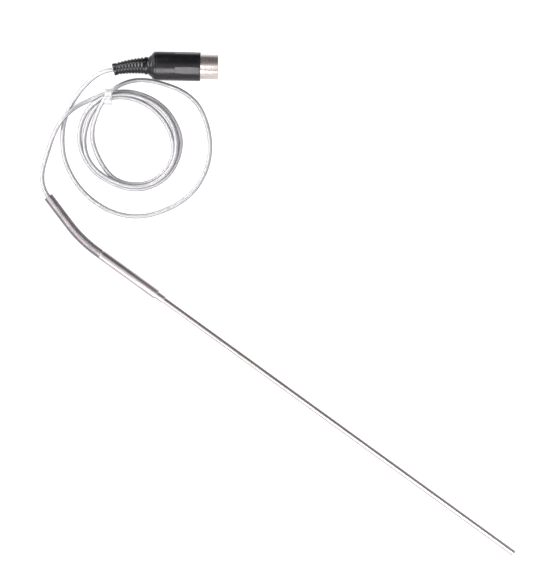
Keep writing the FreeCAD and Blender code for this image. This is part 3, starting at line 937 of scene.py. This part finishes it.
def make_tie_strap():
    """A nylon band with soft edges and a shallow hollow outside, pulled round the four cords."""
    half = TIE_WIDTH / 2
    hollow_half = STRAP_HOLLOW_HALF * half
    hollow = TIE_THICKNESS - STRAP_HOLLOW
    band = rounded((
        (-half, 0, STRAP_EDGE),
        (half, 0, STRAP_EDGE),
        (half, TIE_THICKNESS, STRAP_EDGE),
        (hollow_half, hollow, 0.1),
        (-hollow_half, hollow, 0.1),
        (-half, TIE_THICKNESS, STRAP_EDGE),
    ), closed=True, steps=3)
    points, outs = tie_outline(CORD_R + TIE_GAP)
    rings = []
    for point, out in zip(points, outs):
        ring = [(along, *(point + out * (rise + strap_flare(along, out)))) for along, rise in band]
        rings.append(at_tie(ring))
    shape = Shape()
    shape.add_rings(rings, wrap=True)
    strap = shape.piece("strap", [NYLON])
    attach(strap, "cable")
    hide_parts("tie_strap")
    return strap


def beside_strap(points):
    """Points against the strap's inner slope, with Z along the slope, in the part's frame."""
    slope = math.atan2(TIE_BASE_HALF + TIE_LEAN, TIE_RISE)
    points = np.asarray(points, float)
    across = points[..., 1] * math.cos(slope) + points[..., 2] * math.sin(slope) - TIE_BASE_HALF
    height = points[..., 2] * math.cos(slope) - points[..., 1] * math.sin(slope) + TIE_THICKNESS + CORD_R
    return at_tie(np.stack((points[..., 0], across, height), axis=-1))


def pillow(size, lift, rounding, swell):
    """Rings of a soft-edged block against the strap, stacked along Z; swell(share) scales each ring."""
    half = size[0] / 2
    near = -CORD_R - TIE_THICKNESS
    far = near - size[1]
    middle = (near + far) / 2
    outline = rounded((
        (-half, near, rounding),
        (half, near, rounding),
        (half, far, rounding),
        (-half, far, rounding),
    ), closed=True, steps=4)
    rings = []
    for share in np.linspace(0, 1, TIE_BLOCK_STEPS + 1):
        scale = swell(share)
        rings.append([(x * scale, middle + (y - middle) * scale, lift + share * size[2]) for x, y in outline])
    return beside_strap(np.array(rings))


def make_tie_head():
    """The ratchet head, a little pinched at both ends."""
    def pinched(share):
        return 1 - TIE_HEAD_PINCH * abs(2 * share - 1) ** 6

    shape = Shape()
    shape.add_rings(pillow(TIE_HEAD, TIE_HEAD_LIFT, 0.5, pinched), caps=True)
    head = shape.piece("strap_head", [NYLON])
    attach(head, "cable")
    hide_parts("tie_head")
    return head


def make_tie_tail():
    """The trimmed end, with the strap's teeth across it."""
    def toothed(share):
        return TIE_TAIL_SCALE - TIE_TAIL_TOOTH * (round(share * TIE_BLOCK_STEPS) % 2)

    shape = Shape()
    lift = TIE_HEAD_LIFT + TIE_HEAD[2]
    shape.add_rings(pillow(TIE_TAIL, lift, 0.25, toothed), caps=True)
    tail = shape.piece("strap_tail", [NYLON])
    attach(tail, "cable")
    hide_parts("tie_tail")
    return tail


# Plug

PLUG_INSIDES = (
    "rear_shield_upper",
    "rear_shield_lower",
    "cord_crimp",
    "pin_insert",
    "plug_lead_positive",
    "plug_lead_negative",
    "solder_joint_positive",
    "solder_joint_negative",
    "contact_pin_1",
    "contact_pin_2",
    "contact_pin_3",
    "contact_pin_4",
    "contact_pin_5",
)


def boot_ring(distance, radius, cut, around):
    """One ring of the boot. The cut leaves two spines, and is deepest on top and underneath."""
    centre, along = boot_axis(distance)
    angles = circle(around)
    aside = np.abs((np.degrees(angles) - SPINE_AT + 90) % 180 - 90)
    open_side = SPINE_CUT + (1 - SPINE_CUT) * np.clip((aside - SPINE_HALF) / SPINE_FADE, 0, 1)
    depth = SLOT_DEPTH * (SIDE_CUT + (1 - SIDE_CUT) * np.sin(angles) ** 2)
    radii = radius - depth * cut * open_side
    side = np.cross(UP, along)
    return centre + radii[:, None] * (np.cos(angles)[:, None] * side + np.sin(angles)[:, None] * UP)


def make_boot(around=144):
    """The moulded strain relief: flange and cone at the body, then slotted rings to the free end."""
    taper = (BOOT_FREE_R - BOOT_WIDE_R) / BOOT_LENGTH
    lip_start = BOOT_LENGTH - BOOT_LIP
    lip = rounded((
        (lip_start, BOOT_FREE_R + 0.03, 0),
        (BOOT_LENGTH, BOOT_FREE_R, 0.3),
        (BOOT_LENGTH, BOOT_BORE, 0.15),
        (BOOT_LENGTH - BOOT_MOUTH, BOOT_BORE, 0),
    ))
    outside = [(distance, 0.0) for distance in BOOT_PLAIN]
    for slot in range(BOOT_SLOTS):
        outside += [(SLOT_START + slot * SLOT_PITCH + offset, cut) for offset, cut in SLOT_PROFILE]
    ring_start = SLOT_START + BOOT_SLOTS * SLOT_PITCH
    outside += [(distance, 0.0) for distance in np.linspace(ring_start, lip_start, 5)]
    stations = [(distance, radius, 0.0) for distance, radius in BOOT_CONE]
    stations += [(distance, BOOT_WIDE_R + taper * distance, cut) for distance, cut in outside]
    stations += [(distance, radius, 0.0) for distance, radius in lip]
    stations.append((-BOOT_BACK, BOOT_BORE, 0.0))
    shape = Shape()
    shape.add_rings([boot_ring(*station, around) for station in stations], wrap=True)
    boot = shape.piece("boot", [BOOT_RUBBER])
    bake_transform(boot)
    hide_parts("strain_relief_boot")
    return boot


def make_cord_inside_boot():
    """The cord from where the seen cord ends to just past its crimp in the plug."""
    inside = [boot_axis(distance)[0] for distance in np.arange(BOOT_LENGTH - INSIDE_BOOT, 0, -PATH_STEP)]
    straight = [from_plug((x, 0, 0)) for x in np.arange(-BOOT_NECK, INSIDE_BODY, PATH_STEP)]
    shape = Shape()
    add_braid(shape, np.array(inside + straight))
    inner = shape.piece("cord_inside_boot", [STRAND_METAL, CORE_WITH_GAP_SHADE], sharp=70)
    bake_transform(inner)
    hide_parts("cord_in_plug")
    return inner


def flattened(x, radius, angles):
    """The cover's radius round the plug, cut by the grip flats along their length."""
    if not FLAT_START <= x <= FLAT_END:
        return np.full(len(angles), radius)
    step = 360 / FLAT_COUNT
    aside = (np.degrees(angles) - 90 - FLAT_ROLL + step / 2) % step - step / 2
    return np.minimum(radius, (BODY_R - FLAT_DEPTH) / np.cos(np.radians(aside)))


def make_cover():
    """The moulded cover: bevelled rear bead, a fine groove, grip flats and a thin front lip."""
    shape = Shape()
    profile = rounded((
        (4.0, REAR_BORE, 0),
        (0.0, REAR_BORE, 0.1),
        (0.0, REAR_FACE_R, 0.15),
        (0.8, BODY_R - REAR_STEP, 0.25),
        (0.95, BODY_R - REAR_STEP, 0.05),
        (1.1, BODY_R - REAR_LAND, 0.05),
        (1.3, BODY_R, 0.3),
        (1.95, BODY_R, 0.15),
        (2.05, BODY_R - GROOVE_DEPTH, 0.05),
        (2.3, BODY_R - GROOVE_DEPTH, 0.05),
        (2.4, BODY_R, 0.1),
        (FLAT_START - FLAT_RUN_OUT, BODY_R, 0),
        (FLAT_START, BODY_R, 0),
        (FLAT_END, BODY_R, 0),
        (FLAT_END + FLAT_RUN_OUT, BODY_R, 0),
        (BODY_LENGTH, BODY_R, 0.3),
        (BODY_LENGTH, SHELL_R + SHELL_PLAY, 0.1),
        (SHELL_START, SHELL_R + SHELL_PLAY, 0),
        (SHELL_START, FRONT_BORE, 0),
    ))
    shape.add_rings(from_plug(turned(profile, around=180, radius_at=flattened)), wrap=True)
    cover = shape.piece("cover", [COVER_PLASTIC], sharp=30)
    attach(cover, "plug")
    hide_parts("plug_body")
    return cover


def shell_outline(inset, arc_points=100):
    """The shell's section, moved inwards: a circle with the key's channel pressed into it."""
    half = KEY_WIDTH / 2 + inset
    radius = SHELL_R - inset
    floor = SHELL_R - KEY_DEPTH - inset
    lip = math.asin(half / radius)
    corners = []
    for angle in np.linspace(lip, 2 * math.pi - lip, arc_points):
        end = angle == lip or angle == 2 * math.pi - lip
        corners.append((radius * math.sin(angle), radius * math.cos(angle), KEY_LIP if end else 0))
    corners += [(-half, floor, KEY_CORNER), (half, floor, KEY_CORNER)]
    return rounded(corners, closed=True, steps=4)


def make_shell():
    """The drawn nickel shell with its channel, a rounded rim and its hollow inside."""
    turn = math.radians(PLUG_ROLL)
    key = np.array((0.0, -math.sin(turn), math.cos(turn)))
    across = np.array((0.0, math.cos(turn), math.sin(turn)))
    stations = [(SHELL_START, 0.0)]
    stations += [(SHELL_END - back, inset) for back, inset in SHELL_RIM]
    stations += [(SHELL_END - back, SHELL_WALL - inset) for back, inset in reversed(SHELL_RIM)]
    stations.append((SHELL_START, SHELL_WALL))
    rings = []
    for x, inset in stations:
        outline = shell_outline(inset)
        rings.append(outline[:, :1] * across + outline[:, 1:] * key + np.array((x, 0, 0)))
    shape = Shape()
    shape.add_rings(from_plug(np.array(rings)), wrap=True)
    shell = shape.piece("shell", [NICKEL])
    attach(shell, "plug")
    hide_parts("shield_shell")
    return shell


add_camera()
add_floor()
add_world()
add_softboxes()
bpy.context.scene.view_settings.view_transform = "Standard"
dress_cad_nodes()

cord, cord_line, cord_length = make_cord()
make_cord_inside_spring()
make_spring()
make_sleeve()
make_collar()
make_sheath()
make_tip()
on_cord = [
    make_tie_strap(),
    make_tie_head(),
    make_tie_tail(),
    make_boot(),
    make_cord_inside_boot(),
    make_cover(),
    make_shell(),
]
on_cord += [frame["nodes"][node] for node in PLUG_INSIDES]
